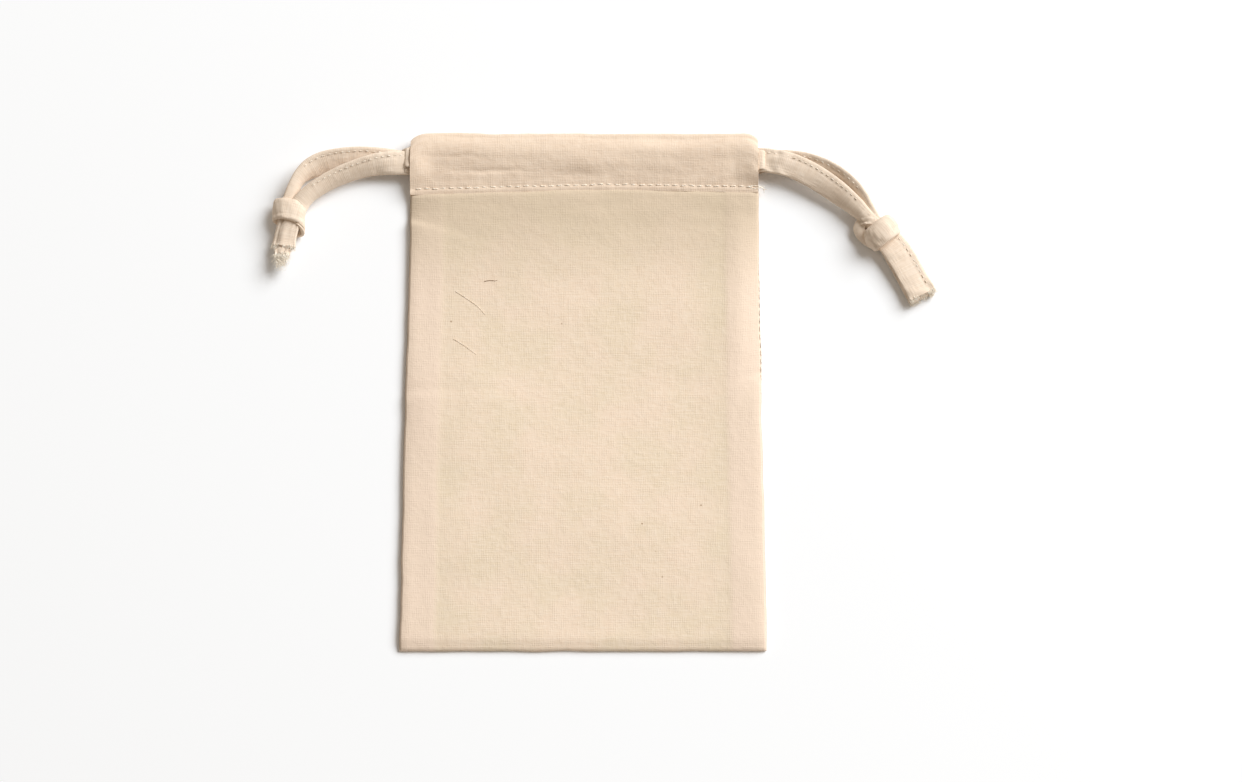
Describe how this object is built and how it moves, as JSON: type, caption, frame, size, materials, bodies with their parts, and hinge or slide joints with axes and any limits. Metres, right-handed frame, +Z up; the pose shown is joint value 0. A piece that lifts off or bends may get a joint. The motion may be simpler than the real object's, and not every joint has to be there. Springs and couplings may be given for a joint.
{
  "type": "drawstring bag",
  "caption": "Small flat cotton muslin pouch with a stitched casing at its mouth and a knotted flat tape drawstring at each side.",
  "frame": {"origin": "on the surface that the flat bag lies on, under the middle of the bag's cloth", "axes": "+Z up from that surface, +Y from the bottom fold towards the mouth, +X to the right seen from above"},
  "size_m": [0.1902, 0.152, 0.0064],
  "materials": {
    "muslin": "unbleached plain weave cotton, matt",
    "muslin_tape": "folded and edge-stitched tape of the same cotton",
    "sewing_thread": "spun cotton sewing thread"
  },
  "bodies": {
    "bag": {"front_panel": "muslin", "back_panel": "muslin", "bottom_fold": "muslin", "front_casing": "muslin", "back_casing": "muslin", "front_casing_fold": "muslin", "back_casing_fold": "muslin", "front_casing_hem": "muslin", "back_casing_hem": "muslin", "left_front_seam_allowance": "muslin", "left_back_seam_allowance": "muslin", "right_front_seam_allowance": "muslin", "right_back_seam_allowance": "muslin", "left_seam_thread": "sewing_thread", "right_seam_thread": "sewing_thread", "front_casing_stitches": "sewing_thread", "back_casing_stitches": "sewing_thread"},
    "left_drawstring": {"left_drawstring_run": "muslin_tape", "left_strand_front": "muslin_tape", "left_strand_back": "muslin_tape", "left_knot": "muslin_tape"},
    "right_drawstring": {"right_drawstring_run": "muslin_tape", "right_strand_front": "muslin_tape", "right_strand_back": "muslin_tape", "right_knot": "muslin_tape"}
  },
  "joints": [
    {"name": "left_pull", "type": "slide", "parent": "bag", "child": "left_drawstring", "axis": [-1, 0, 0], "range_m": [0, 0.03], "deforming": ["front_casing", "back_casing", "front_casing_fold", "back_casing_fold", "front_casing_hem", "back_casing_hem", "front_casing_stitches", "back_casing_stitches"]},
    {"name": "right_pull", "type": "slide", "parent": "bag", "child": "right_drawstring", "axis": [1, 0, 0], "range_m": [0, 0.03], "deforming": ["front_casing", "back_casing", "front_casing_fold", "back_casing_fold", "front_casing_hem", "back_casing_hem", "front_casing_stitches", "back_casing_stitches"]}
  ]
}
